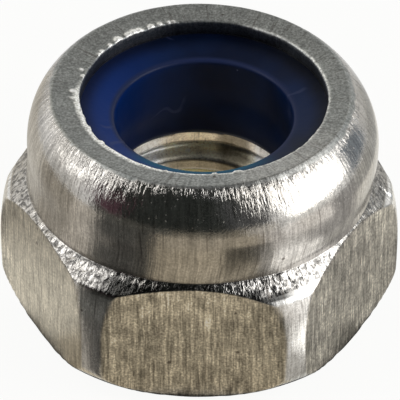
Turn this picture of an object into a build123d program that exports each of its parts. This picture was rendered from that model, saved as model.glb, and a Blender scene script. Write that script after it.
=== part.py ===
"""M4 hexagon lock nut with a nylon insert, millimetres.

The steel body stands on its bearing face at z = 0, with the thread axis on +Z. Two flats face
+Y and -Y, and two corners lie on the X axis. The collar above the hexagon is rolled inward over
the nylon ring and holds it down in its pocket.
"""

import math
import os

from build123d import *

# Thread: ISO metric coarse, M4 x 0.7, bored to its minor diameter
thread_diameter = 4.0
thread_pitch = 0.7
minor_diameter = thread_diameter - 5 * math.sqrt(3) / 8 * thread_pitch
countersink_play = 0.15  # the countersink opens this far outside the thread
countersink_depth = 0.30
lead_in_play = 0.05  # the chamfer under the insert opens this far outside the thread
lead_in_depth = 0.45

# Hexagon
across_flats = 7.0
hex_height = 2.60  # bearing face to the top edge of a corner
corner_relief = 0.10  # turned off each sharp corner, along the radius
belly_height = 1.50  # height at which the turned corners are widest
corner_taper_top = 0.125  # how far the corners draw in at their top edge
corner_taper_bottom = 0.02
base_chamfer_width = 0.72  # from the foot of the corners in to the bearing face
base_chamfer_angle = 26.5
base_round = 0.75  # blend from the base chamfer into the corners
corner_top_round = 0.15
flat_edge_round = 0.08  # softened line round each flat

# Collar: a barrel that is widest at collar_height and is rolled inward above it
neck_angle = 48.0  # the turned neck climbs this steeply from the corners to the waist
collar_step = 0.045  # the collar's widest stands this far inside the flats
collar_height = 3.80  # bearing face to the collar's widest
collar_wall = 0.46
waist_depth = 0.065  # how far the collar draws in at its foot
crimp_rise = 1.10  # height of the rolled shoulder
crimp_width = 0.535  # how far the rolled shoulder leans in
rim_width = 0.49  # plain ring on top, from the shoulder to the mouth
rim_dip = 0.05  # the ring slopes down this much towards the mouth
rim_edge_break = 0.06  # chamfer round the mouth
lip_thickness = 0.42  # steel over the insert at the mouth
fold_width = 0.28  # inside of the rolled shoulder
fold_rise = 0.75

# Nylon insert
insert_bore = 3.5
insert_height = 1.83
insert_clearance = 0.01  # radial gap between the ring and its pocket
insert_edge_break = 0.08  # chamfer at both ends of the ring's bore

# Heights
total_height = collar_height + crimp_rise
mouth_height = total_height - rim_dip
insert_top = mouth_height - lip_thickness
pocket_floor = insert_top - insert_height

# Radii
flat_radius = across_flats / 2
corner_radius = flat_radius / math.cos(math.radians(30)) - corner_relief
corner_top_radius = corner_radius - corner_taper_top
corner_bottom_radius = corner_radius - corner_taper_bottom
bearing_radius = corner_bottom_radius - base_chamfer_width
collar_radius = flat_radius - collar_step
waist_radius = collar_radius - waist_depth
pocket_radius = collar_radius - collar_wall
rim_radius = collar_radius - crimp_width
mouth_radius = rim_radius - rim_width
fold_radius = pocket_radius - fold_width
bore_radius = minor_diameter / 2
countersink_radius = thread_diameter / 2 + countersink_play
lead_in_radius = thread_diameter / 2 + lead_in_play
insert_bore_radius = insert_bore / 2
insert_radius = pocket_radius - insert_clearance

# The base chamfer climbs from the bearing face to the foot of the turned corners
base_chamfer_rise = base_chamfer_width * math.tan(math.radians(base_chamfer_angle))

# The neck climbs from the top of the corners in to the waist
waist_height = hex_height + (corner_top_radius - waist_radius) * math.tan(math.radians(neck_angle))


def quarter_fold(top_radius, foot_height, width, rise):
    """Quarter ellipse from a vertical wall up and inward to a level face."""
    return EllipticalCenterArc((top_radius, foot_height), width, rise, arc_size=90)


def corner_at(section, radius, height):
    """Corner of a section that lies nearest to this radius and height."""
    return section.vertices().sort_by_distance((radius, height))[0]


with BuildPart() as nut_body:
    with BuildSketch(Plane.XZ) as body_section:
        with BuildLine() as body_outline:
            # Outside: bearing face, base chamfer, turned corner, neck, barrel, rolled shoulder
            Polyline(
                (countersink_radius, 0),
                (bearing_radius, 0),
                (corner_bottom_radius, base_chamfer_rise),
            )
            ThreePointArc(
                (corner_bottom_radius, base_chamfer_rise),
                (corner_radius, belly_height),
                (corner_top_radius, hex_height),
            )
            Line((corner_top_radius, hex_height), (waist_radius, waist_height))
            TangentArc(
                (collar_radius, collar_height), (waist_radius, waist_height), tangent=(0, -1)
            )
            TangentArc((collar_radius, collar_height), (rim_radius, total_height), tangent=(0, 1))
            # Rim and lip, then the inside of the fold and the pocket that holds the insert
            Polyline(
                (rim_radius, total_height),
                (mouth_radius, mouth_height),
                (mouth_radius, insert_top),
                (fold_radius, insert_top),
            )
            quarter_fold(fold_radius, insert_top - fold_rise, fold_width, fold_rise)
            # Pocket floor, lead-in, threaded bore and countersink
            Polyline(
                (pocket_radius, insert_top - fold_rise),
                (pocket_radius, pocket_floor),
                (lead_in_radius, pocket_floor),
                (bore_radius, pocket_floor - lead_in_depth),
                (bore_radius, countersink_depth),
                (countersink_radius, 0),
            )
        make_face()
        fillet(corner_at(body_section, corner_bottom_radius, base_chamfer_rise), base_round)
        fillet(corner_at(body_section, corner_top_radius, hex_height), corner_top_round)
        chamfer(corner_at(body_section, mouth_radius, mouth_height), rim_edge_break)
    revolve(axis=Axis.Z)
    with BuildSketch() as hexagon:
        RegularPolygon(radius=flat_radius, side_count=6, major_radius=False)
    extrude(amount=total_height, mode=Mode.INTERSECT)
    flats = nut_body.faces().filter_by(GeomType.PLANE).filter_by(Axis.Z, reverse=True)
    fillet([edge for flat in flats for edge in flat.edges()], flat_edge_round)

with BuildPart() as nylon_insert:
    with BuildSketch(Plane.XZ) as ring_section:
        with BuildLine() as ring_outline:
            Polyline(
                (insert_radius, insert_top - fold_rise),
                (insert_radius, pocket_floor),
                (insert_bore_radius, pocket_floor),
                (insert_bore_radius, insert_top),
                (fold_radius, insert_top),
            )
            quarter_fold(fold_radius, insert_top - fold_rise, fold_width - insert_clearance, fold_rise)
        make_face()
        chamfer(corner_at(ring_section, insert_bore_radius, insert_top), insert_edge_break)
        chamfer(corner_at(ring_section, insert_bore_radius, pocket_floor), insert_edge_break)
    revolve(axis=Axis.Z)

os.makedirs("parts", exist_ok=True)
nut_body.part.label = "nut_body"
export_step(nut_body.part, "parts/nut_body.step")
nylon_insert.part.label = "nylon_insert"
export_step(nylon_insert.part, "parts/nylon_insert.step")
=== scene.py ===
"""Nylon insert lock nut: the finish of every surface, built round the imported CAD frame.

The frame is in metres with +Z up. Lengths below are in millimetres and are scaled once, when a
mesh, lamp or camera is made. Angles are in degrees. A place round the nut is given by the way it
faces: 0 is +X, 90 the back, 180 the left and 270 the front. An azimuth, for the stage and the
camera, is 0 in front and 90 on the right.
"""

import math
from types import SimpleNamespace

import bpy
import numpy as np
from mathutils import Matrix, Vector, noise


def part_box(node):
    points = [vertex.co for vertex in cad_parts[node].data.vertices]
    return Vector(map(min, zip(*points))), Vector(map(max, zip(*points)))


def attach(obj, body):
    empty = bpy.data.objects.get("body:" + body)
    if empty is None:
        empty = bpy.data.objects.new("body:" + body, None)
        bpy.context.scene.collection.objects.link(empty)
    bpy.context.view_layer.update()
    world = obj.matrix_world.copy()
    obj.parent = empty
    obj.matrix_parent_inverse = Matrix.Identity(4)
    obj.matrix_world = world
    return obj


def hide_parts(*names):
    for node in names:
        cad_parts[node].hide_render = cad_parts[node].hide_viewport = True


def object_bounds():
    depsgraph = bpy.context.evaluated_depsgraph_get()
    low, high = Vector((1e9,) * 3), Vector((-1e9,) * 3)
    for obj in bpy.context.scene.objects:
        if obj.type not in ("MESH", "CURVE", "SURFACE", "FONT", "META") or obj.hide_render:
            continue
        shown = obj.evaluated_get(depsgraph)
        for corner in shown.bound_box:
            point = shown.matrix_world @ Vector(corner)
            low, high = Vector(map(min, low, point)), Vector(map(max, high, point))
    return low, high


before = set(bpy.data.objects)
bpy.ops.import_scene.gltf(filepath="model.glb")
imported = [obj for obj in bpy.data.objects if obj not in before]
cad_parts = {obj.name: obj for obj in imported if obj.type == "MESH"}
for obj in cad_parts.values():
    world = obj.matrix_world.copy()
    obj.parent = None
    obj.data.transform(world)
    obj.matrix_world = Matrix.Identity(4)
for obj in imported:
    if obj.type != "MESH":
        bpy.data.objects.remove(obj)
cad_low, cad_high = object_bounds()

MM = 0.001

# Sizes taken from the frame
body_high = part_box("nut_body")[1]
insert_low, insert_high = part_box("nylon_insert")
HEIGHT = body_high.z / MM
FLAT = body_high.y / MM
CORNER = body_high.x / MM - 0.008  # just inside the solid's corners
INSERT_FOOT = insert_low.z / MM
INSERT_TOP = insert_high.z / MM
INSERT_RADIUS = insert_high.x / MM

# Hexagon with turned corners
BEARING = CORNER - 0.74
BEARING_INNER = BEARING - 0.35
BASE_KNEE = (CORNER - 0.008, 0.366)
BASE_ROUND_TOP = 0.712
BELLY = 1.50
TAPER_UP = 0.125
TAPER_DOWN = 0.035
HEX_TOP = 2.60
TOP_BEND = 0.10  # the corners bend over into the neck from this far below their top
FLAT_BLEND = 0.014
FLAT_OFFSETS = (0.0, 0.0, 0.0, 0.0, 0.0, -0.03)  # of the flats facing 30, 90 ... 330 degrees
FLAT_TURNS = (0.0, 0.0, 0.0, -1.2, 0.0, 2.0)

# Turned neck, barrel-shaped collar, rolled shoulder and rim
NECK_FOOT = (CORNER - 0.198, 2.645)
NECK_DIPS = ((180, 240, 268, 300, 360), (-0.05, 0.06, 0.01, -0.07, -0.10))  # facing, rise of the foot
NECK_DIPS_FROM = HEX_TOP - 0.35
WAIST = FLAT - 0.100
WAIST_HEIGHT = 2.94
WAIST_FILLET = 0.035  # fills the waist's corner on the right
WAIST_FILLET_RISE = 0.07
WAIST_FILLET_FROM = (290, 310)
COLLAR = FLAT - 0.045
COLLAR_HEIGHT = 3.80
BARREL_POWER = 1.5
SHOULDER_END = 52.5  # the shoulder's arc turns this far, and its last row stands before the rim's edge
SHOULDER_LAST = SHOULDER_END - 1.2
RIM_OUTER = COLLAR - 0.535
MOUTH = COLLAR - 1.025
RIM_DIP = 0.05
EDGE_BREAK = 0.06
LIP_ROW = 0.05  # the edge's colour ends in a row this far under the mouth's edge
FOLD = INSERT_RADIUS - 0.27
FOLD_RISE = 0.75
POCKET = INSERT_RADIUS + 0.01

# The rolled collar isn't quite true to the hexagon. Its foot is, and it strays above that
COLLAR_LEAN = -0.006
COLLAR_SHIFT = (0.075, 0.018)
RIM_SHIFT = (0.027, 0.090)
MOUTH_SHIFT = (0.094, 0.066)
SHIFT_RISE = 0.60  # height over which the collar's shift grows
MOUTH_SHIFT_HEIGHTS = (2.0, 4.2)  # heights over which the mouth's own shift takes over

# Wavy mouth with a painted highlight on its edge, its burrs, and the beads of burr at the back left, which
# carry it too
MOUTH_WAVE = 0.025
MOUTH_RIPPLE = 0.006
MOUTH_EDGE = (HEIGHT - 0.16, HEIGHT - 0.10)
EDGE_WIDTH = 0.075
EDGE_WIDER = 0.05  # on the left
EDGE_FADE = 0.055
BURR = 0.014
BEAD_RISE = 0.42  # height of a bead over its radius
BEAD_SPREAD = 1.15
# A bead takes the painted highlight between these heights
BEAD_SHOWS = (0.010, 0.018)  # heights between which a bead turns bright
BEADS = (  # facing angle, distance from the mouth and radius of each bead
    (106, 0.05, 0.050), (108, 0.05, 0.050), (112.5, 0.05, 0.060), (117, 0.04, 0.070), (123, 0.03, 0.075),
    (126, 0.03, 0.085), (129, 0.04, 0.075), (135, 0.03, 0.088), (140.5, 0.03, 0.055), (146.5, 0.02, 0.060),
    (149, 0.02, 0.050), (163, 0.10, 0.050), (167, 0.02, 0.055), (179, 0.12, 0.065), (181, 0.02, 0.050),
    (184, 0.13, 0.050), (188, 0.07, 0.055),
)

# Dark ring on top
RING_REACH = 0.12  # how far outside the rim its edge is
RING_DRAWN_IN = 0.07  # less in front and on the left
RING_RAG = 0.03
RING_FADE = 0.04
RING_PALER = 0.28  # share of its shade that is missing on the right

# Heights between which a zone sets in
RING_HEIGHTS = (4.5, 4.7)
LIP_HEIGHTS = (4.0, 4.3)
SHOULDER_HEIGHTS = (3.75, 4.15)
BELOW_RIM_HEIGHTS = (4.20, 4.65)
BY_RING_HEIGHTS = (4.66, 4.80)
BY_MOUTH_HEIGHTS = (4.4, 4.7)
FRONT_TOP_HEIGHTS = (1.7, 2.5)

# Stretches, by the way they face: where each starts, is full, wanes and ends
RING_DRAWN_IN_FRONT = (225, 265, 275, 315)
RING_DRAWN_IN_LEFT = (150, 185, 225, 245)
RING_PALER_RIGHT = (280, 295, 325, 345)
COARSE_CRUMPLE = (185, 215, 240, 262)
FINE_CRUMPLE = (272, 290, 305, 325)
PLAIN_NECK = (232, 247, 278, 300)  # the foil-like strip is faint here
# Where painted shade lies in the neck's corner
PAINTED_SHADE_MIDDLE = (258, 264, 274, 279)
PAINTED_SHADE_LEFT = (236, 246, 258, 264)
PAINTED_SHADE_RIGHT = (273, 278, 288, 298)
PAINTED_SHADE_LINE = (222, 230, 258, 264)
PAINTED_SHADE_FOOT_LEFT = (232, 240, 256, 266)
PAINTED_SHADE_FOOT_RIGHT = (272, 280, 298, 304)
# Where the mouth's edge carries its painted highlight, and where that is wider
BRIGHT_EDGE = (165, 185, 285, 300)
WIDER_EDGE = (165, 185, 240, 262)
ALL_BUT_RIGHT = (60, 78, 285, 300)
# Painted light on the front flat's top and left edge
FRONT_FLAT_TOP = (245, 255, 285, 295)
FRONT_FLAT_LEFT = (241, 244, 248, 258)
LEFT_FLAT = (182, 190, 236, 242)

PLAIN_MIDDLE = (268, 9)  # middle and reach of the neck's plainest part
# Angles over which a flat's sides take painted shade
FLAT_SIDES = (23.5, 28)  # from a flat's middle

# Stretches by height, in the same way
CORNER_TOP = (2.50, 2.58, 2.64, 2.72)
NECK = (NECK_FOOT[1] - 0.03, NECK_FOOT[1] + 0.01, WAIST_HEIGHT - 0.004, WAIST_HEIGHT + 0.004)

# How far up the neck, 0 to 1, the painted shade and the foil start and end
PAINTED_SHADE_LEFT_CLIMB = (0.88, 0.66)
PAINTED_SHADE_RIGHT_CLIMB = (0.44, 0.26)
PAINTED_SHADE_LINE_CLIMB = (0.84, 0.94)
PAINTED_SHADE_RAG = 0.30
FOIL_CLIMB = (0.35, 0.75)

# How far the relief moves the skin out or in
CRUMPLE_COARSE = 0.0070
CRUMPLE_FINE = 0.0045
CRUMPLE_BY_RING = 0.0070
UNEVEN_SKIN = 0.0012
NECK_SKIN = 0.002
NECK_FOIL = 0.010
RING_SKIN = 0.002

# Thread, M4 x 0.7
PITCH = 0.7
MAJOR = 2.0
MINOR = MAJOR - 5 * math.sqrt(3) / 16 * PITCH
COUNTERSINK = MAJOR + 0.15
COUNTERSINK_RISE = 0.45  # height at which its cone is as narrow as the crests
THREAD_CREST = 0.17  # half the crest's width, in pitches
THREAD_ROOT = 0.06  # half the root's
THREAD_START = 0.50  # where the first crest is, in pitches
LEAD_IN = MINOR + 0.20
LEAD_IN_FOOT = INSERT_FOOT - 0.29
LEAD_IN_BLEND = 0.04
# Where the thread takes a painted highlight, and the stretch of its far wall that takes painted shade
PALE_LEFT = (-0.60, -0.95)  # where along X the thread turns pale at either side
PALE_RIGHT = (0.90, 1.20)
DARK_STRETCH = (0.22, 0.45, 0.85, 1.05)  # of the far wall, along X

# Insert
BORE = 1.75
BORE_EDGE = 0.08
NYLON_CROWN = 0.12
BORE_SHIFT = (0.0, -0.05)
BORE_FOOT = 1.94  # the bore flares to this at its foot
BORE_FLARE = 0.12
UNEVEN_TOP = 0.004
UNEVEN_HEIGHTS = (4.2, 4.43)

# How finely the meshes are cut
AROUND_OUTSIDE = 760
AROUND_INSIDE = 152
AROUND_INSERT = 360
ROWS_A_PITCH = 12


# ---------------------------------------------------------------- mesh helpers

def spread(start, end, count):
    """Straight run of (radius, height) points from start to end, without the last one."""
    steps = np.arange(count) / count
    return [tuple(np.add(start, np.subtract(end, start) * t)) for t in steps]


def bend(start, knee, end, count):
    """Rounded corner from start to end, drawn towards the knee, without its last point."""
    points = []
    for t in np.arange(count) / count:
        a, b, c = (1 - t) ** 2, 2 * t * (1 - t), t**2
        points.append(tuple(a * np.array(start) + b * np.array(knee) + c * np.array(end)))
    return points


def ellipse(centre, width, rise, start, end, count):
    """Stretch of an ellipse from one angle to another, without its last point."""
    angles = np.radians(start + (end - start) * np.arange(count) / count)
    return [(centre[0] + width * math.cos(a), centre[1] + rise * math.sin(a)) for a in angles]


def field(points, size, seed, octaves=1):
    """Smooth noise of about -1 to 1 at each point, with bumps of the given size."""
    shift = Vector((seed * 17.3, seed * 5.1, seed * 9.7))
    values = np.zeros(len(points))
    for octave in range(octaves):
        scale = 2**octave / size
        values += np.array([noise.noise(Vector(p) * scale + shift) for p in points]) / 2**octave
    return values


def soft_min(a, b, reach):
    """The smaller of a and b, rounded where they cross. Also returns how far b rules, 0 to 1."""
    share = np.clip(0.5 + 0.5 * (a - b) / reach, 0, 1)
    return a * (1 - share) + b * share - reach * share * (1 - share), share


def step(low, high, value):
    """Smooth step from 0 at low to 1 at high. It falls where low is the larger."""
    t = np.clip((value - low) / (high - low), 0, 1)
    return t * t * (3 - 2 * t)


def within(stretch, value):
    """1 within a stretch and 0 outside it. A stretch says where it starts, is full, wanes and ends."""
    start, full, wane, end = stretch
    return step(start, full, value) * step(end, wane, value)


def hump(centre, reach, value):
    """Bell curve of height 1 about a centre."""
    return np.exp(-(((value - centre) / reach) ** 2))


def add_ring(points, radius, height, around):
    """Appends a level ring of points and returns their numbers."""
    start = len(points)
    angles = np.arange(around) / around * 2 * math.pi
    points.extend((radius * math.cos(a), radius * math.sin(a), height) for a in angles)
    return list(range(start, start + around))


def ring_faces(faces, lower, upper):
    """Joins two closed rings of vertex numbers. The longer one may have a whole multiple of points."""
    many, few = len(upper), len(lower)
    if many < few:
        parts = []
        ring_faces(parts, upper, lower)
        faces.extend(tuple(reversed(f)) for f in parts)
        return
    ratio = many // few
    for i in range(few):
        a, b = lower[i], lower[(i + 1) % few]
        fan = [upper[(i * ratio + k) % many] for k in range(ratio + 1)]
        if ratio == 1:
            faces.append((a, b, fan[1], fan[0]))
            continue
        half = ratio // 2
        faces.extend((a, fan[k + 1], fan[k]) for k in range(half))
        faces.append((a, b, fan[half]))
        faces.extend((b, fan[k + 1], fan[k]) for k in range(half, ratio))


def joined(outside, inside):
    """Values of the outside's points, then the inside's. A value that one of them lacks is 0 there."""
    values = {}
    for key in {**outside, **inside}:
        parts = [part.get(key, np.zeros(len(part["streak"]))) for part in (outside, inside)]
        values[key] = np.concatenate(parts)
    return values


def placed(name, data):
    """New object with this mesh, lamp or camera, in the scene."""
    made = bpy.data.objects.new(name, data)
    bpy.context.scene.collection.objects.link(made)
    return made


def make_piece(name, points, faces, values):
    """Mesh object from points in millimetres, with one number or vector a point for each named list."""
    mesh = bpy.data.meshes.new(name)
    mesh.from_pydata((np.asarray(points) * MM).tolist(), [], faces)
    mesh.validate()
    mesh.shade_smooth()
    for key, column in values.items():
        column = np.asarray(column, float)
        kind = "FLOAT" if column.ndim == 1 else "FLOAT_VECTOR"
        layer = mesh.attributes.new(key, kind, "POINT")
        layer.data.foreach_set("value" if kind == "FLOAT" else "vector", column.ravel())
    return placed(name, mesh)


# ---------------------------------------------------------------- nut body: form

def corner_radius(height):
    """Radius of the turned corners at a height: widest at the belly, a little less above and below."""
    above = TAPER_UP * ((height - BELLY) / (HEX_TOP - BELLY)) ** 2
    below = TAPER_DOWN * ((height - BELLY) / (BASE_KNEE[1] - BELLY)) ** 2
    return CORNER - (above if height > BELLY else below)


def hexagon_profile():
    """(radius, height) rows from the bearing face over the turned corners to the neck's foot."""
    bend_start = HEX_TOP - TOP_BEND
    rows = [(BEARING_INNER, 0.0)]
    rows += bend((BEARING, 0.0), BASE_KNEE, (corner_radius(BASE_ROUND_TOP), BASE_ROUND_TOP), 14)
    rows += [(corner_radius(z), z) for z in np.linspace(BASE_ROUND_TOP, bend_start, 9)[:-1]]
    rows += bend(
        (corner_radius(bend_start), bend_start), (corner_radius(HEX_TOP), HEX_TOP), NECK_FOOT, 7
    )
    return rows


def collar_profile():
    """Rows from the waist up the barrel, which swells to its widest and rolls over to the rim's edge."""
    swell, climb = COLLAR - WAIST, COLLAR_HEIGHT - WAIST_HEIGHT
    rows = [(WAIST, WAIST_HEIGHT)]
    for t in (0.006, 0.02, *np.linspace(0.07, 1, 10)[:-1]):
        rows.append((WAIST + swell * (1 - (1 - t) ** BARREL_POWER), WAIST_HEIGHT + climb * t))
    end = math.radians(SHOULDER_END)
    width = (COLLAR - RIM_OUTER) / (1 - math.cos(end))
    rise = (HEIGHT - COLLAR_HEIGHT) / math.sin(end)
    rows += ellipse((COLLAR - width, COLLAR_HEIGHT), width, rise, 0, SHOULDER_LAST, 34)
    return rows


def rim_profile():
    """Rows over the rim's rounded edge, down the ring's slope, round the mouth's edge and down the lip."""
    top = (MOUTH + EDGE_BREAK, HEIGHT - RIM_DIP)
    lip = (MOUTH, top[1] - EDGE_BREAK)
    rows = [(RIM_OUTER + 0.008, HEIGHT - 0.008), (RIM_OUTER - 0.006, HEIGHT)]
    rows += spread((RIM_OUTER - 0.03, HEIGHT - 0.002), top, 12)
    rows += bend(top, (MOUTH, top[1]), lip, 4)
    return rows + [lip, (MOUTH, lip[1] - LIP_ROW), (MOUTH, INSERT_TOP + 0.15)]


def outside_skin():
    """The body's outside, row after row of points, with these values for each point: radius and height;
    facing, with its cosine and sine; on_flat, 0 to 1, and off_middle, the angle from its flat's middle;
    lean and rise, the way out; streak, which runs on over the rows as drawn lines do; and its place."""
    rows = hexagon_profile() + spread(NECK_FOOT, (WAIST, WAIST_HEIGHT), 18)
    rows = np.array(rows + collar_profile() + rim_profile())
    slope = np.gradient(rows, axis=0)
    out = np.stack([slope[:, 1], -slope[:, 0]], -1)
    out /= np.linalg.norm(out, axis=1, keepdims=True)
    run = np.concatenate([[0], np.cumsum(np.hypot(*np.diff(rows, axis=0).T))])
    turn = np.tile(np.arange(AROUND_OUTSIDE) / AROUND_OUTSIDE * 2 * math.pi, len(rows))
    columns = np.column_stack([rows, out, run])
    radius, height, lean, rise, run = np.repeat(columns, AROUND_OUTSIDE, axis=0).T
    facing = np.degrees(turn)

    # The neck's foot dips and rises round the nut, and on the right the waist's corner is filled
    on_neck = step(NECK_DIPS_FROM, HEX_TOP, height) * step(WAIST_HEIGHT, HEX_TOP, height)
    height = height + on_neck * np.interp(facing, *NECK_DIPS)
    filled = hump(WAIST_HEIGHT, WAIST_FILLET_RISE, height) * step(*WAIST_FILLET_FROM, facing)
    radius = radius + WAIST_FILLET * filled

    # The flats cut the turned form
    sixth = math.pi / 3
    which = (turn // sixth).astype(int) % 6
    off_middle = turn % sixth - sixth / 2 - np.radians(FLAT_TURNS)[which]
    flat_reach = (FLAT + np.array(FLAT_OFFSETS)[which]) / np.cos(off_middle)
    radius, on_flat = soft_min(radius, flat_reach, FLAT_BLEND)
    cosine, sine = np.cos(turn), np.sin(turn)
    return SimpleNamespace(
        rows=len(rows), radius=radius, height=height, cosine=cosine, sine=sine, facing=facing,
        on_flat=on_flat, off_middle=np.degrees(off_middle),
        lean=lean * (1 - on_flat) + on_flat,
        rise=rise * (1 - on_flat),
        streak=np.stack([COLLAR * cosine, COLLAR * sine, run], -1),
        place=np.stack([radius * cosine, radius * sine, height], -1),
    )


def settle(points):
    """The collar as it was rolled: it leans, and it, the rim and the mouth are off the hexagon's axis."""
    points = np.array(points, float)
    share = step(WAIST_HEIGHT, WAIST_HEIGHT + SHIFT_RISE, points[:, 2])
    higher = step(COLLAR_HEIGHT, HEIGHT, points[:, 2])
    inner = step(RIM_OUTER, MOUTH, np.hypot(points[:, 0], points[:, 1]))
    inner *= step(*MOUTH_SHIFT_HEIGHTS, points[:, 2])
    points[:, 2] += share * COLLAR_LEAN * points[:, 0]
    for axis in (0, 1):
        outer = COLLAR_SHIFT[axis] + higher * (RIM_SHIFT[axis] - COLLAR_SHIFT[axis])
        points[:, axis] += share * (outer * (1 - inner) + MOUTH_SHIFT[axis] * inner)
    return points


# ---------------------------------------------------------------- nut body: wear

def body_zones(skin):
    """How far each point of the skin lies on the ring, the lip, the shoulder and so on, 0 to 1."""
    facing, reach, tall = skin.facing, skin.radius, skin.height
    off_flat = 1 - skin.on_flat
    drawn_in = within(RING_DRAWN_IN_FRONT, facing) + within(RING_DRAWN_IN_LEFT, facing)
    ring_edge = RIM_OUTER + RING_REACH - RING_DRAWN_IN * drawn_in
    ring_edge += RING_RAG * field(skin.streak * (1, 1, 0), 0.2, 9, 3)
    ring = step(ring_edge, ring_edge - RING_FADE, reach) * step(*RING_HEIGHTS, tall)
    ring *= 1 - RING_PALER * within(RING_PALER_RIGHT, facing)
    lip = step(MOUTH + 0.02, MOUTH - 0.005, reach) * step(*LIP_HEIGHTS, tall)
    neck_foot = NECK_FOOT[1]
    return SimpleNamespace(
        ring=ring,
        lip=lip,
        neck=within(NECK, tall) * off_flat,
        shoulder=step(*SHOULDER_HEIGHTS, tall) * (1 - ring),
        corner=step(neck_foot, neck_foot - 0.08, tall) * off_flat,
        below_rim=step(*BELOW_RIM_HEIGHTS, tall) * (1 - ring) * (1 - lip),
        by_ring=step(*BY_RING_HEIGHTS, tall),
        coarse=within(COARSE_CRUMPLE, facing),
        fine=within(FINE_CRUMPLE, facing),
        climb=np.clip((tall - neck_foot) / (WAIST_HEIGHT - neck_foot), 0, 1),
    )


def foil_share(skin, zones):
    """How far the neck is crumpled like foil. In front only its upper part is, beside the middle."""
    foil = 1 - within(PLAIN_NECK, skin.facing)
    upper = step(*FOIL_CLIMB, zones.climb) * (1 - hump(*PLAIN_MIDDLE, skin.facing))
    return foil + (1 - foil) * 0.55 * upper


def neck_painted_shade_share(skin, zones):
    """Painted shade in the neck's corner: all of it in the middle of the front, beside that only its foot,
    a line under the collar on the left, and the corners' top edges."""
    facing, climb = skin.facing, zones.climb
    ragged = climb + PAINTED_SHADE_RAG * field(skin.streak * (1, 1, 0), 0.11, 13, 2)
    soot = 0.8 * within(PAINTED_SHADE_MIDDLE, facing)
    soot += within(PAINTED_SHADE_LEFT, facing) * step(*PAINTED_SHADE_LEFT_CLIMB, ragged)
    soot += within(PAINTED_SHADE_RIGHT, facing) * step(*PAINTED_SHADE_RIGHT_CLIMB, ragged)
    soot += 0.8 * within(PAINTED_SHADE_LINE, facing) * step(*PAINTED_SHADE_LINE_CLIMB, climb)
    soot = np.clip(soot, 0, 1) * zones.neck
    at_foot = within(CORNER_TOP, skin.height) * (1 - skin.on_flat)
    soot = np.maximum(soot, at_foot * within(PAINTED_SHADE_FOOT_RIGHT, facing))
    return np.maximum(soot, 0.8 * at_foot * within(PAINTED_SHADE_FOOT_LEFT, facing))


def wear_skin(skin, zones, foil):
    """Moves the skin out and in. The roller crumpled it below the rim, coarsely on the left and finely
    on the right and by the ring. The neck is like foil, and the rest is a little uneven."""
    streak, place = skin.streak, skin.place
    crumple = CRUMPLE_FINE * zones.fine + CRUMPLE_BY_RING * zones.by_ring
    relief = crumple * zones.below_rim * field(streak * (1, 1, 0.25), 0.12, 1, 2)
    relief += CRUMPLE_COARSE * zones.coarse * zones.below_rim * field(streak * (1, 1, 0.50), 0.19, 12, 2)
    relief += UNEVEN_SKIN * (1 - zones.ring) * field(streak * (1, 1, 0.3), 0.9, 2)
    relief += (NECK_SKIN + NECK_FOIL * foil) * zones.neck * field(place * (1, 1, 0.7), 0.14, 3, 2)
    relief += RING_SKIN * zones.ring * field(place, 0.4, 4, 2)
    relief += UNEVEN_SKIN * zones.corner * field(place, 0.3, 5, 2)
    skin.radius = skin.radius + relief * skin.lean
    skin.height = np.maximum(skin.height + relief * skin.rise, 0)


def bead_heights(x, y):
    """Height of the beads of burr that stand along the mouth."""
    tallest = np.zeros(len(x))
    for facing, inset, size in BEADS:
        turn, reach = math.radians(facing), MOUTH + inset
        apart = np.hypot(x - reach * math.cos(turn), y - reach * math.sin(turn))
        tallest = np.maximum(tallest, BEAD_RISE * size * hump(0, BEAD_SPREAD * size, apart))
    return tallest


def wear_mouth(skin, zones, reach, tall):
    """Waves the mouth's edge and raises its burrs, and its beads out of the dark ring. Returns where the
    edge and the beads carry a painted highlight. reach and tall are each point's distance from the axis and
    height before any wear."""
    facing, around = skin.facing, skin.streak * (1, 1, 0)
    high = step(*MOUTH_EDGE, tall)
    near_mouth = step(MOUTH + 0.30, MOUTH, reach) * step(*BY_MOUTH_HEIGHTS, tall)
    wave = MOUTH_WAVE * field(around, 0.9, 6) + MOUTH_RIPPLE * high * field(around, 0.22, 7, 2)
    skin.radius = skin.radius - near_mouth * wave

    rag = field(around, 0.30, 8, 3)
    front_left = within(BRIGHT_EDGE, facing)
    right = (1 - within(ALL_BUT_RIGHT, facing)) * (0.8 + 0.5 * step(0.0, 0.5, rag))
    edge_end = MOUTH + EDGE_WIDTH + EDGE_WIDER * within(WIDER_EDGE, facing)
    at_edge = step(edge_end, edge_end - EDGE_FADE, reach) * high
    beads = bead_heights(skin.radius * skin.cosine, skin.radius * skin.sine) * high
    on_bead = step(*BEAD_SHOWS, beads)
    burr = BURR * at_edge * (front_left + 0.4) * (0.3 + step(0.1, 0.5, rag))
    skin.radius = skin.radius - burr * step(MOUTH + 0.10, MOUTH, reach)
    skin.height = skin.height + burr + beads
    zones.ring = zones.ring * (1 - on_bead)
    # Painted highlight on the edge and the beads, but little on the lip
    return np.clip(at_edge * (front_left + 0.6 * right) + on_bead, 0, 1) * (1 - 0.85 * zones.lip)


def painted_flat_shading(skin):
    """Painted shade on the flats' sides, and painted light on the top and left edge of the front flat."""
    sides = step(*FLAT_SIDES, abs(skin.off_middle))
    top = within(FRONT_FLAT_TOP, skin.facing) * step(*FRONT_TOP_HEIGHTS, skin.height)
    return skin.on_flat * (sides - 1.6 * top - within(FRONT_FLAT_LEFT, skin.facing))


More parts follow.
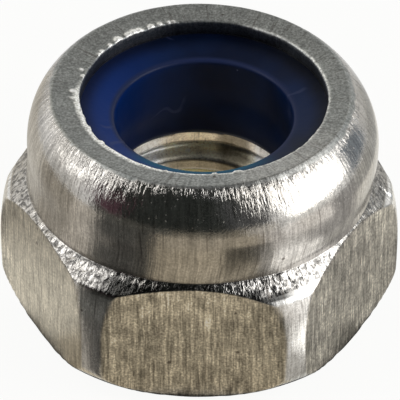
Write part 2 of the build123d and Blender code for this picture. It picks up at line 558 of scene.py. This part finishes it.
def nut_body():
    """The steel body: its outside as a worn skin, and the simpler inside that closes it."""
    skin = outside_skin()
    zones = body_zones(skin)
    foil = foil_share(skin, zones)
    crumple = 0.7 * zones.coarse + 0.75 * zones.fine + 1.1 * zones.by_ring
    outside = {
        "streak": skin.streak,
        "flat_zone": skin.on_flat,
        "flat_side": painted_flat_shading(skin),
        "flat_grain": skin.on_flat * (1 - 0.7 * within(LEFT_FLAT, skin.facing)),
        "shoulder_zone": zones.shoulder,
        "neck_zone": zones.neck,
        "corner_zone": zones.corner,
        "foil_zone": zones.neck * (0.15 + 0.85 * foil),
        "soot": neck_painted_shade_share(skin, zones),
        "crumple_zone": zones.below_rim * crumple,
        "lip_zone": zones.lip,
    }
    reach, tall = skin.radius, skin.height
    wear_skin(skin, zones, foil)
    # The mouth's edge and its beads carry a painted highlight
    outside["edge_zone"] = wear_mouth(skin, zones, reach, tall)
    outside["ring_zone"] = zones.ring

    points = np.stack([skin.radius * skin.cosine, skin.radius * skin.sine, skin.height], -1).tolist()
    count = len(points)
    numbers = np.arange(count).reshape(skin.rows, AROUND_OUTSIDE).tolist()
    faces = []
    for lower, upper in zip(numbers, numbers[1:]):
        ring_faces(faces, lower, upper)
    close_inside(points, faces, numbers[0], numbers[-1])
    inside = inside_values(points[count:])
    points = settle(points)
    inside["streak"] = points[count:]
    return make_piece("steel_body", points, faces, joined(outside, inside))


# ---------------------------------------------------------------- nut body: inside

def bore_radius(pitches, height):
    """Radius of the bore at a height, for a row that many pitches along the thread's crest, flank, root
    and flank. The countersink opens it at the foot and the lead-in at the top."""
    off_crest = abs((pitches - THREAD_START + 0.5) % 1 - 0.5)
    flank = np.clip((off_crest - THREAD_CREST) / (0.5 - THREAD_CREST - THREAD_ROOT), 0, 1)
    cone = COUNTERSINK - height * (COUNTERSINK - MINOR) / COUNTERSINK_RISE
    radius = max(MINOR + (MAJOR - MINOR) * flank, cone)
    opened = step(LEAD_IN_FOOT - LEAD_IN_BLEND, LEAD_IN_FOOT + LEAD_IN_BLEND, height)
    return radius + (LEAD_IN - radius) * opened


def add_thread(points, faces, foot, top):
    """Adds the threaded bore between two rings, in rows that climb one pitch a turn, as the thread does."""
    count = round((INSERT_FOOT / PITCH + 1) * ROWS_A_PITCH) + 1
    rows = []
    for i in range(count):
        row = []
        for j in range(AROUND_INSIDE):
            height = PITCH * (i / ROWS_A_PITCH + j / AROUND_INSIDE - 1)
            if height <= 0:
                row.append(foot[j])
            elif height >= INSERT_FOOT:
                row.append(top[j])
            else:
                row.append(len(points))
                radius = bore_radius(i / ROWS_A_PITCH, height)
                a = 2 * math.pi * j / AROUND_INSIDE
                points.append((radius * math.cos(a), radius * math.sin(a), height))
        rows.append(row)

    # After one turn a row runs into the row that starts a pitch above it
    for i, row in enumerate(rows):
        row.append(rows[i + ROWS_A_PITCH][0] if i + ROWS_A_PITCH < count else top[0])
    for lower, upper in zip(rows, rows[1:]):
        for j in range(AROUND_INSIDE):
            corners = (lower[j], upper[j], upper[j + 1], lower[j + 1])
            loop = tuple(v for k, v in enumerate(corners) if v != corners[k - 1])
            if len(loop) > 2:
                faces.append(loop)


def close_inside(points, faces, foot_ring, mouth_ring):
    """Adds the lip's underside, the pocket, the thread and the countersink, and closes the mesh."""
    fold_foot = INSERT_TOP - FOLD_RISE
    pocket = [(MOUTH, INSERT_TOP), (FOLD, INSERT_TOP)]
    pocket += ellipse((FOLD, fold_foot), POCKET - FOLD, FOLD_RISE, 90, 0, 8)[1:]
    pocket += [(POCKET, fold_foot), (POCKET, INSERT_FOOT), (LEAD_IN, INSERT_FOOT)]
    last = mouth_ring
    for radius, height in pocket:
        this = add_ring(points, radius, height, AROUND_INSIDE)
        ring_faces(faces, last, this)
        last = this
    foot = add_ring(points, COUNTERSINK, 0.0, AROUND_INSIDE)
    add_thread(points, faces, foot, last)
    ring_faces(faces, foot, foot_ring)


def inside_values(points):
    """Zones of the inside's points: the thread's grooves and crests, its painted highlight at the ends and
    painted shade on a stretch.
    """
    x, y, tall = np.array(points).T
    threaded = step(LEAD_IN_FOOT + 0.02, LEAD_IN_FOOT - 0.04, tall)
    groove = step(MINOR + 0.02, MINOR + 0.13, np.hypot(x, y)) * threaded
    return {
        "groove": groove,
        "crest": threaded * (1 - groove),
        "thread_zone": np.ones(len(points)),
        "thread_end": step(*PALE_LEFT, x) + step(*PALE_RIGHT, x),
        "thread_dark": within(DARK_STRETCH, x) * step(0, 0.5, y),
    }


# ---------------------------------------------------------------- nylon insert

def nylon_profile():
    """(radius, height) rows round the ring's section: wall, foot, bore, the crown under the lip, fold."""
    fold_foot = INSERT_TOP - FOLD_RISE
    flare_top = (BORE, INSERT_FOOT + BORE_FLARE)
    bore_top = (BORE, INSERT_TOP - BORE_EDGE)
    top_edge = (BORE + BORE_EDGE, INSERT_TOP)
    crown = (MOUTH + 0.05, INSERT_TOP + NYLON_CROWN)
    rows = spread((INSERT_RADIUS, fold_foot), (INSERT_RADIUS, INSERT_FOOT), 4)
    rows += spread((INSERT_RADIUS, INSERT_FOOT), (BORE_FOOT, INSERT_FOOT), 4)
    rows += spread((BORE_FOOT, INSERT_FOOT), flare_top, 6)
    rows += spread(flare_top, bore_top, 24)
    rows += bend(bore_top, (BORE, INSERT_TOP), top_edge, 6)
    rows += spread(top_edge, crown, 12)
    rows += spread(crown, (crown[0], INSERT_TOP), 3)
    rows += spread((crown[0], INSERT_TOP), (FOLD, INSERT_TOP), 3)
    rows += ellipse((FOLD, fold_foot), INSERT_RADIUS - FOLD, FOLD_RISE, 90, 0, 8)
    return rows


def nylon_ring():
    """Nylon ring that fills the pocket and stands up a little under the lip, with its bore off centre."""
    points, faces = [], []
    rings = [add_ring(points, radius, height, AROUND_INSERT) for radius, height in nylon_profile()]
    for lower, upper in zip(rings, rings[1:] + rings[:1]):
        ring_faces(faces, upper, lower)
    points = np.array(points)
    reach = np.hypot(points[:, 0], points[:, 1])

    # The bore is off centre, twice as far at its foot, and the top is a little uneven
    off_centre = step(INSERT_RADIUS - 0.2, BORE + 0.3, reach)
    off_centre *= 1 + step(INSERT_FOOT + 0.5, INSERT_FOOT, points[:, 2])
    points[:, :2] += off_centre[:, None] * BORE_SHIFT
    points[:, 2] += UNEVEN_TOP * field(points, 0.7, 11, 2) * step(*UNEVEN_HEIGHTS, points[:, 2])

    x, y, tall = points.T
    rounding = step(BORE + BORE_EDGE * 1.6, BORE + BORE_EDGE * 0.6, reach)
    front_painted_sheen = step(BORE + 0.30, BORE, reach) * step(-1.2, -1.7, y)
    # Painted highlight on the bore's edge, painted sheen at its front, painted light on the left, painted
    # shade in the bore and under the lip
    values = {
        "rounding": rounding * step(INSERT_TOP - BORE_EDGE, INSERT_TOP - BORE_EDGE * 0.4, tall),
        "painted_shadow_under_lip": step(MOUTH - 0.38, MOUTH - 0.02, reach),
        "front_painted_sheen": front_painted_sheen * step(INSERT_TOP - 0.5, INSERT_TOP - 0.2, tall),
        "painted_light_leftness": 0.5 - x / 4.0 - y * 0.08,
        "in_bore": step(INSERT_TOP - 0.05, INSERT_TOP - 0.20, tall),
    }
    return make_piece("nylon_ring", settle(points), faces, values)


# ---------------------------------------------------------------- material helpers

EVEN = (1, 1, 1)
NO_CHANGE = (1, 1, 1, 1)


def material(name):
    """Material with an empty node tree."""
    made = bpy.data.materials.new(name)
    made.use_nodes = True
    made.node_tree.nodes.clear()
    return made


def fill(tree, socket, value):
    """Links another socket to this one, or sets its value."""
    if isinstance(value, bpy.types.NodeSocket):
        tree.links.new(value, socket)
    else:
        socket.default_value = value


def node(tree, kind, inputs=None, **settings):
    """A node of that kind, with settings, and with inputs given as values or as other sockets."""
    made = tree.nodes.new("ShaderNode" + kind)
    for key, value in settings.items():
        setattr(made, key, value)
    for key, value in (inputs or {}).items():
        fill(tree, made.inputs[key], value)
    return made


def attribute(tree, name, output="Fac"):
    """What a mesh's points carry under a name: numbers, or vectors where the output is Vector."""
    return node(tree, "Attribute", attribute_name=name).outputs[output]


def maths(tree, operation, a, b=0.0, c=0.0):
    """What one operation makes of up to three numbers."""
    return node(tree, "Math", {0: a, 1: b, 2: c}, operation=operation).outputs[0]


def product(tree, *values):
    """The values multiplied."""
    result = values[0]
    for value in values[1:]:
        result = maths(tree, "MULTIPLY", result, value)
    return result


def larger(tree, a, b):
    """The larger of two values."""
    return maths(tree, "MAXIMUM", a, b)


def added(tree, start, value, factor):
    """A start, plus a value times a factor."""
    return maths(tree, "MULTIPLY_ADD", value, factor, start)


def ramp(tree, value, low, high, to_low=0.0, to_high=1.0):
    """Smooth step from to_low where the value is low to to_high where it is high."""
    inputs = {0: value, 1: low, 2: high, 3: to_low, 4: to_high}
    return node(tree, "MapRange", inputs, interpolation_type="SMOOTHSTEP").outputs[0]


def swing(tree, noise_value, reach):
    """Turns noise of about 0.3 to 0.7 into a factor of 1 - reach to 1 + reach."""
    inputs = {0: noise_value, 1: 0.3, 2: 0.7, 3: 1 - reach, 4: 1 + reach}
    return node(tree, "MapRange", inputs).outputs[0]


def grain(tree, vector, stretch, scale, detail=2.0, rough=0.5):
    """Noise of 0 to 1 over a vector that is first stretched along its axes."""
    drawn = node(tree, "VectorMath", {0: vector, 1: stretch}, operation="MULTIPLY").outputs[0]
    inputs = {"Vector": drawn, "Scale": scale, "Detail": detail, "Roughness": rough}
    return node(tree, "TexNoise", inputs).outputs[0]


def specks(tree, place, scale, edge, chance, channel=0):
    """Round specks, 0 to 1, in the middle of cells that divide space. edge has the distances from the
    middle where a speck starts and is full, chance the draws at which a cell has a faint and a full one."""
    cells = node(tree, "TexVoronoi", {"Vector": place, "Scale": scale})
    draw = node(tree, "SeparateColor", {0: cells.outputs["Color"]}).outputs[channel]
    return product(tree, ramp(tree, cells.outputs["Distance"], *edge), ramp(tree, draw, *chance))


def mixed(tree, share, a, b):
    """Colour a where the share is 0 and b where it is 1."""
    made = node(tree, "Mix", data_type="RGBA")
    for number, value in ((0, share), (6, a), (7, b)):
        fill(tree, made.inputs[number], value)
    return made.outputs[2]


def layered(tree, colour, layers):
    """A colour with others laid over it. Each layer is how far it covers, 0 to 1, and its shade."""
    for share, shade in layers:
        colour = mixed(tree, share, colour, (*shade, 1))
    return colour


def scaled(tree, colour, factor):
    """A colour made lighter or darker by a factor."""
    return node(tree, "VectorMath", {0: colour, "Scale": factor}, operation="SCALE").outputs[0]


def raised(tree, below, height, depth, strength=1.0):
    """A normal, or none, bent by relief of a height of 0 to 1 that stands for a depth in millimetres."""
    inputs = {"Strength": strength, "Distance": depth * MM, "Height": height}
    if below is not None:
        inputs["Normal"] = below
    return node(tree, "Bump", inputs).outputs[0]


def finished(made, inputs):
    """Gives the material a Principled shader with these inputs."""
    shader = node(made.node_tree, "BsdfPrincipled", inputs)
    node(made.node_tree, "OutputMaterial", {"Surface": shader.outputs[0]})
    return made


# ---------------------------------------------------------------- materials

STEEL_SHADES = ((0.47, 0.445, 0.405, 1), (0.54, 0.52, 0.49, 1))
NYLON_SHADES = ((0.002, 0.006, 0.022, 1), (0.003, 0.013, 0.052, 1))
STEEL_VALUES = (
    "ring_zone", "shoulder_zone", "neck_zone", "corner_zone", "foil_zone", "crumple_zone", "lip_zone",
    "edge_zone", "thread_zone", "flat_zone", "flat_side", "flat_grain", "soot", "groove", "crest",
    "thread_end", "thread_dark",
)


def steel_surface(tree):
    """Zones, noise and marks of the steel. place is in metres and streak in millimetres, and so the scales
    of the noise over them differ a thousandfold."""
    here = {name.removesuffix("_zone"): attribute(tree, name) for name in STEEL_VALUES}
    streak = attribute(tree, "streak", "Vector")
    place = node(tree, "TexCoord").outputs["Object"]
    scratches = ramp(tree, grain(tree, streak, (1, 1, 0.09), 15.0, 1.0), 0.63, 0.72)
    pits = specks(tree, place, 2300.0, (0.11, 0.06), (0.78, 0.80))
    return SimpleNamespace(
        **here,
        patches=grain(tree, place, EVEN, 700.0, 3.0),
        stains=grain(tree, place, EVEN, 3200.0, 5.0, 0.6),
        dents=grain(tree, place, EVEN, 10000.0, 2.5, 0.6),
        speckle=grain(tree, place, EVEN, 22000.0, 2.0, 0.6),
        dust=specks(tree, place, 13000.0, (0.24, 0.10), (0.35, 0.95), 1),
        broad_lines=grain(tree, streak, (1, 1, 0.05), 8.0, 3.0, 0.6),
        fine_lines=grain(tree, streak, (1, 1, 0.07), 24.0, 2.0, 0.6),
        ridges=ramp(tree, grain(tree, streak, (1, 1, 0.40), 14.0, 3.0, 0.6), 0.40, 0.68),
        marks=larger(tree, product(tree, scratches, 0.5), pits),
    )


def steel_colour(tree, here):
    """Warm, worn steel, grey on the rim, with painted light, highlight, reflection and shade on the mouth,
    lip, flats, neck and thread.
    """
    colour = mixed(tree, ramp(tree, here.patches, 0.3, 0.7), *STEEL_SHADES)
    colour = layered(tree, colour, (
        (here.ring, (0.275, 0.284, 0.272)),
        (here.corner, (0.80, 0.785, 0.75)),
        (here.flat, (0.45, 0.42, 0.36)),
        # Painted reflection in the bore: pale yellow steel, paler in the grooves and dark on the crests
        (here.thread, (0.85, 0.77, 0.64)),
        (here.crest, (0.30, 0.27, 0.21)),
        (here.groove, (1.00, 0.93, 0.70)),
        # Painted highlight on the thread's ends, painted shade on a stretch of its far wall
        (product(tree, here.thread_end, 0.8), (1, 1, 1)),
        (product(tree, here.thread_dark, 0.75), (0.16, 0.13, 0.08)),
        # Painted shade on the lip in its recess under the rim, partly crevice dirt
        (here.lip, (0.08, 0.09, 0.11)),
        # Painted highlight on the mouth's edge and its beads
        (here.edge, (0.95, 0.95, 0.91)),
    ))

    # Drawn lines, weaker on the ring and none in the thread and the lip. The flats' grain is deeper
    plain = larger(tree, product(tree, here.ring, 0.7), larger(tree, here.thread, here.lip))
    lines = mixed(tree, plain, swing(tree, here.fine_lines, 0.24), NO_CHANGE)
    tone = product(tree, lines, swing(tree, here.speckle, 0.22), swing(tree, here.broad_lines, 0.12))
    tone = product(tree, tone, mixed(tree, here.ring, NO_CHANGE, swing(tree, here.speckle, 0.22)))
    tone = maths(tree, "POWER", tone, added(tree, 1.0, here.flat_grain, 1.2))
    # Painted shade on the flats' sides, painted light on the front flat's top and left edge
    tone = product(tree, tone, added(tree, 1.0, here.flat_side, -0.22))
    stained = added(tree, 0.25, here.flat_grain, 0.6)
    mottle = mixed(tree, stained, NO_CHANGE, swing(tree, here.stains, 0.46))
    colour = scaled(tree, scaled(tree, colour, tone), mottle)

    # The hammered neck darker in the hollows of its dents, painted shade in its corner, dark scratches and
    # pits
    dent_darkening = mixed(tree, here.neck, NO_CHANGE, ramp(tree, here.dents, 0.38, 0.56, 0.30, 1.0))
    return layered(tree, scaled(tree, colour, dent_darkening), (
        (product(tree, here.soot, 0.92), (0.03, 0.03, 0.028)),
        (product(tree, here.marks, 0.75), (0.07, 0.055, 0.045)),
    ))


def steel_roughness(tree, here):
    """Polished on the shoulder and neck, but for dust, and duller on the ring, edge, flats and thread."""
    rough = 0.20
    for value, change in (
        (here.ring, 0.24), (here.shoulder, -0.07), (here.neck, -0.06), (here.flat, 0.16),
        (here.thread, 0.20), (here.edge, 0.35), (product(tree, here.shoulder, here.dust), 0.40),
        (here.broad_lines, 0.06),
    ):
        rough = added(tree, rough, value, change)
    return rough


def steel_relief(tree, here):
    """Drawn lines, ridged crumples, dents in the neck, a grained shoulder, rough ring and flats, pits."""
    normal = None
    for height, depth in (
        (here.broad_lines, 0.0030),
        (here.fine_lines, 0.0013),
        (product(tree, here.ridges, larger(tree, here.crumple, here.neck)), 0.0060),
        (product(tree, here.dents, here.foil), 0.0140),
        (product(tree, here.speckle, here.shoulder), 0.0025),
        (product(tree, here.stains, larger(tree, here.flat, here.ring)), 0.0040),
        (product(tree, here.marks, here.flat, -1.0), 0.0060),
    ):
        normal = raised(tree, normal, height, depth)
    return normal


def steel():
    """Stainless steel with the wear, and the painted light and shade, that the body's points say."""
    made = material("stainless_steel_worn")
    tree = made.node_tree
    here = steel_surface(tree)
    return finished(made, {
        "Base Color": steel_colour(tree, here),
        "Metallic": 1.0,
        "Roughness": steel_roughness(tree, here),
        "Normal": steel_relief(tree, here),
    })


def nylon():
    """Dark blue moulded nylon with painted light on the left, a painted highlight on the bore's edge and a
    painted sheen at its front, painted shade in the bore and under the lip, and specks of dust and hairs.
    """
    made = material("blue_nylon_moulded")
    tree = made.node_tree
    place = node(tree, "TexCoord").outputs["Object"]
    cloudy = grain(tree, place, EVEN, 600.0, 3.0)
    ripple = grain(tree, place, EVEN, 2500.0, 3.0)
    dust = specks(tree, place, 4200.0, (0.10, 0.05), (0.90, 0.92))

    colour = mixed(tree, ramp(tree, cloudy, 0.35, 0.65), *NYLON_SHADES)
    # Painted light, brighter and bluer on the left
    left = ramp(tree, attribute(tree, "painted_light_leftness"), 0.45, 1.0)
    colour = layered(tree, colour, ((left, (0.001, 0.021, 0.130)),))
    # Painted shade inside the bore
    colour = scaled(tree, colour, added(tree, 1.0, attribute(tree, "in_bore"), -0.25))
    # Painted highlight on the bore's rounded edge, and a painted sheen on its front edge
    colour = layered(tree, colour, (
        (attribute(tree, "rounding"), (0.012, 0.020, 0.062)),
        (attribute(tree, "front_painted_sheen"), (0.000, 0.090, 0.160)),
    ))
    # Painted shadow under the lip
    colour = scaled(tree, colour, added(tree, 1.0, attribute(tree, "painted_shadow_under_lip"), -0.7))

    # A hair lies where a broad noise crosses its middle
    off_line = maths(tree, "ABSOLUTE", maths(tree, "SUBTRACT", grain(tree, place, EVEN, 520.0, 2.0), 0.5))
    hair = product(tree, ramp(tree, off_line, 0.010, 0.003), ramp(tree, cloudy, 0.54, 0.60))
    colour = layered(tree, colour, (
        (product(tree, dust, 0.5), (0.10, 0.11, 0.16)),
        (product(tree, hair, 0.35), (0.05, 0.06, 0.12)),
    ))
    return finished(made, {
        "Base Color": colour,
        "Roughness": 0.34,
        "IOR": 1.45,
        "Specular IOR Level": 0.14,
        "Normal": raised(tree, None, ripple, 0.02, 0.4),
    })


# ---------------------------------------------------------------- stage

# The metal mirrors the cards and mats. Their places and shades were chosen render by render
ROOM = 28  # distance of the cards in front, and how far the mats reach
STRIP_EDGES = 17  # each card or mat is made of this many edges side by side
FLOOR_REACH = 1500

CARDS = (  # name, azimuths, elevations, distance and shade of cards that stand round the nut
    ("front_card", (-64, 18), (9.5, 72), ROOM, (0.023, 0.027, 0.025)),
    ("right_front_card", (18, 42), (12, 72), ROOM, (0.080, 0.084, 0.088)),
    ("left_front_card", (-62, -46), (8.5, 34), 27, (0.090, 0.042, 0.058)),
    ("right_back_card", (102, 125), (-1, 40), 40, (0.26, 0.30, 0.35)),
    ("left_back_card", (-165, -110), (25, 62), 40, (0.95, 0.92, 0.84)),
    ("right_back_high_card", (125, 160), (25, 62), 40, (0.95, 0.92, 0.84)),
    ("left_wall", (-64, -15), (0, 12), 28.2, (0.10, 0.10, 0.09)),
    ("front_wall", (-15, 28), (0, 12), 28.2, (0.22, 0.20, 0.16)),
    ("right_wall", (28, 45), (0, 12), 28.2, (0.60, 0.57, 0.52)),
)

MATS = (  # name, azimuths, distances from the axis, shade and height of mats over the floor
    # Inside the bore, and under the foot, where a near-black mat is a painted shadow
    ("bore_middle_mat", (-180, 180), (0.0, 1.0), (0.60, 0.50, 0.34), 0.01),
    ("bore_front_mat", (-30, 30), (1.0, 2.1), (1.15, 1.02, 0.82), 0.01),
    ("bore_back_mat", (80, 280), (1.0, 2.1), (1.40, 1.36, 1.30), 0.01),
    ("foot_mat", (-180, 180), (2.3, 3.80), (0.03, 0.03, 0.03), 0.01),
    # Round the nut, for the collar, the neck and the corners
    ("left_back_mat", (-150, -104), (5.5, ROOM), (0.67, 0.64, 0.58), 0.02),
    ("left_mat", (-104, -77), (5.5, ROOM), (0.42, 0.39, 0.34), 0.02),
    ("left_side_mat", (-77, -58), (5.5, ROOM), (0.60, 0.56, 0.50), 0.02),
    ("dark_mat", (-58, -23), (4.8, ROOM), (0.080, 0.080, 0.075), 0.02),
    ("front_mat", (-23, 35), (8.2, ROOM), (0.44, 0.39, 0.31), 0.02),
    ("middle_front_mat", (-23, 35), (5.9, 8.2), (0.52, 0.46, 0.36), 0.02),
    ("near_front_mat", (-23, 35), (4.8, 5.9), (0.48, 0.43, 0.34), 0.02),
    ("front_spot_mat", (13, 38), (6.4, 8.4), (0.03, 0.03, 0.025), 0.04),
    ("right_front_mat", (35, 46), (5.2, ROOM), (0.60, 0.57, 0.54), 0.02),
    ("right_side_mat", (62, 100), (5.45, ROOM), (0.44, 0.43, 0.42), 0.02),
    ("right_mat", (46, 78), (7.7, ROOM), (1.08, 1.05, 1.02), 0.03),
    ("near_right_mat", (46, 62), (5.2, 6.7), (1.02, 0.99, 0.95), 0.03),
    ("right_end_mat", (52, 70), (5.2, 6.0), (1.50, 1.47, 1.42), 0.04),
    ("middle_right_mat", (46, 62), (6.7, 7.7), (0.50, 0.49, 0.47), 0.03),
    ("back_mat", (100, 150), (9.0, ROOM), (0.52, 0.52, 0.50), 0.02),
    ("near_back_mat", (97, 150), (5.45, 9.0), (0.95, 0.93, 0.87), 0.03),
    # Against the nut, for the flats
    ("left_flat_mat", (-150, -60), (3.80, 5.5), (1.05, 1.01, 0.91), 0.03),
    ("front_flat_mat", (-60, 32), (3.80, 4.8), (0.50, 0.44, 0.34), 0.03),
    ("right_flat_mat", (32, 150), (3.80, 5.45), (0.54, 0.53, 0.50), 0.03),
)

CORNER_MATS = (  # name, a corner's azimuth, azimuths and distances seen from it, shade and height
    ("left_corner_mat", -30, (-95, -70.5), (0.02, 3.4), (0.36, 0.335, 0.30), 0.05),
    ("left_corner_dark_mat", -30, (-70.5, -40), (0.02, 3.4), (0.065, 0.062, 0.058), 0.05),
    ("right_corner_dark_mat", 30, (34, 57), (0.02, 3.4), (0.40, 0.385, 0.36), 0.05),
    ("right_corner_mat", 30, (57, 98), (1.5, 3.4), (1.45, 1.43, 1.39), 0.06),
    ("right_corner_foot_mat", 30, (57, 98), (0.02, 1.5), (0.40, 0.385, 0.36), 0.06),
)

# Camera: long lens, low three-quarter view from the front
CAMERA_AZIMUTH = 1.9
CAMERA_ELEVATION = 38.65
CAMERA_DISTANCE = 131.25
AIM_HEIGHT = 2.306
AIM_RIGHT = 0.019
PIXELS_FOCAL = 6635.8
IMAGE_SIDE = 400


def direction(azimuth, elevation):
    """Unit vector seen from the object. Azimuth 0 is towards -Y, 90 towards +X."""
    a, e = math.radians(azimuth), math.radians(elevation)
    return Vector((math.sin(a) * math.cos(e), -math.cos(a) * math.cos(e), math.sin(e)))


def floor():
    """Pale floor, nearly pure light to the camera, with a faint shadow, and mostly matt to the metal."""
    side, z = FLOOR_REACH * MM, cad_low.z
    mesh = bpy.data.meshes.new("floor")
    corners = [(-side, -side, z), (side, -side, z), (side, side, z), (-side, side, z)]
    mesh.from_pydata(corners, [], [(0, 1, 2, 3)])
    made = material("pale_floor")
    tree = made.node_tree
    matt = node(tree, "BsdfDiffuse", {"Color": (0.80, 0.80, 0.79, 1)}).outputs[0]
    glow = node(tree, "Emission", {"Color": (1.0, 1.0, 0.99, 1), "Strength": 1.0}).outputs[0]
    path = node(tree, "LightPath").outputs
    reflected = larger(tree, path["Is Glossy Ray"], path["Is Transmission Ray"])
    share = added(tree, product(tree, path["Is Camera Ray"], 0.93), reflected, 0.3)
    both = node(tree, "MixShader", {0: share, 1: matt, 2: glow}).outputs[0]
    node(tree, "OutputMaterial", {"Surface": both})
    mesh.materials.append(made)
    plane = placed("floor", mesh)


def glowing_strip(name, edges, shade):
    """Strip of light between pairs of points. Only metal and gloss mirror it, and it isn't seen itself."""
    points = [tuple(Vector(p) * MM) for pair in edges for p in pair]
    faces = [(2 * j, 2 * j + 2, 2 * j + 3, 2 * j + 1) for j in range(len(edges) - 1)]
    mesh = bpy.data.meshes.new(name)
    mesh.from_pydata(points, [], faces)
    made = material(name)
    glow = node(made.node_tree, "Emission", {"Color": (*shade, 1)}).outputs[0]
    node(made.node_tree, "OutputMaterial", {"Surface": glow})
    mesh.materials.append(made)
    piece = placed(name, mesh)
    piece.visible_camera = False
    piece.visible_diffuse = False
    piece.visible_shadow = False


def card(name, azimuths, elevations, distance, shade):
    """Card that stands round the object, on a circle about its axis."""
    heights = [Vector((0, 0, distance * math.tan(math.radians(e)))) for e in elevations]
    feet = [direction(turn, 0) * distance for turn in np.linspace(*azimuths, STRIP_EDGES)]
    glowing_strip(name, [[foot + height for height in heights] for foot in feet], shade)


def mat(name, azimuths, reach, shade, lift, centre=(0, 0, 0)):
    """Card that lies over the floor, spread like a fan about the object's axis or another centre."""
    start = Vector(centre) + Vector((0, 0, lift))
    ways = [direction(turn, 0) for turn in np.linspace(*azimuths, STRIP_EDGES)]
    glowing_strip(name, [[start + way * d for d in reach] for way in ways], shade)


def softbox(name, azimuth, elevation, distance, width, height, radiance):
    """Rectangular lamp that faces the object's middle and has this brightness over its face."""
    lamp = bpy.data.lights.new(name, "AREA")
    lamp.shape = "RECTANGLE"
    lamp.size, lamp.size_y = width * MM, height * MM
    lamp.energy = radiance * math.pi * lamp.size * lamp.size_y
    piece = placed(name, lamp)
    way = direction(azimuth, elevation)
    piece.location = way * distance * MM + Vector((0, 0, HEIGHT / 2 * MM))
    piece.rotation_euler = way.to_track_quat("Z", "Y").to_euler()
    piece.visible_camera = False


def sky():
    """White round the horizon, and dark overhead."""
    world = bpy.data.worlds.new("studio")
    bpy.context.scene.world = world
    world.use_nodes = True
    tree = world.node_tree
    tree.nodes.clear()
    way = node(tree, "TexCoord").outputs["Generated"]
    up = node(tree, "SeparateXYZ", {0: way}).outputs[2]
    shade = mixed(tree, ramp(tree, up, 0.25, 0.90), NO_CHANGE, (0.12, 0.12, 0.13, 1))
    back = node(tree, "Background", {"Color": shade, "Strength": 1.0}).outputs[0]
    node(tree, "OutputWorld", {"Surface": back})


def camera():
    """Camera that looks at a point near the axis, with the photograph's lens."""
    lens = bpy.data.cameras.new("camera")
    lens.sensor_width = 36
    lens.lens = PIXELS_FOCAL / IMAGE_SIDE * lens.sensor_width
    lens.clip_start, lens.clip_end = 0.01, 5
    a = math.radians(CAMERA_AZIMUTH)
    right = Vector((math.cos(a), math.sin(a), 0))
    back = direction(CAMERA_AZIMUTH, CAMERA_ELEVATION)
    aim = Vector((0, 0, AIM_HEIGHT)) + right * AIM_RIGHT
    piece = placed("camera", lens)
    piece.location = (aim + back * CAMERA_DISTANCE) * MM
    piece.rotation_mode = "QUATERNION"
    piece.rotation_quaternion = back.to_track_quat("Z", "Y")
    bpy.context.scene.camera = piece


# ---------------------------------------------------------------- build

body = nut_body()
body.data.materials.append(steel())
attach(body, "root")
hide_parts("nut_body")

ring = nylon_ring()
ring.data.materials.append(nylon())
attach(ring, "root")
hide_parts("nylon_insert")

floor()
for row in CARDS:
    card(*row)
for row in MATS:
    mat(*row)
for name, corner, azimuths, reach, shade, lift in CORNER_MATS:
    mat(name, azimuths, reach, shade, lift, direction(corner, 0) * CORNER)
softbox("right_softbox", azimuth=78, elevation=26, distance=90, width=76, height=78, radiance=2.8)
softbox("left_softbox", azimuth=-84, elevation=45, distance=90, width=40, height=94, radiance=2.1)
sky()
camera()

bpy.context.scene.view_settings.view_transform = "Standard"
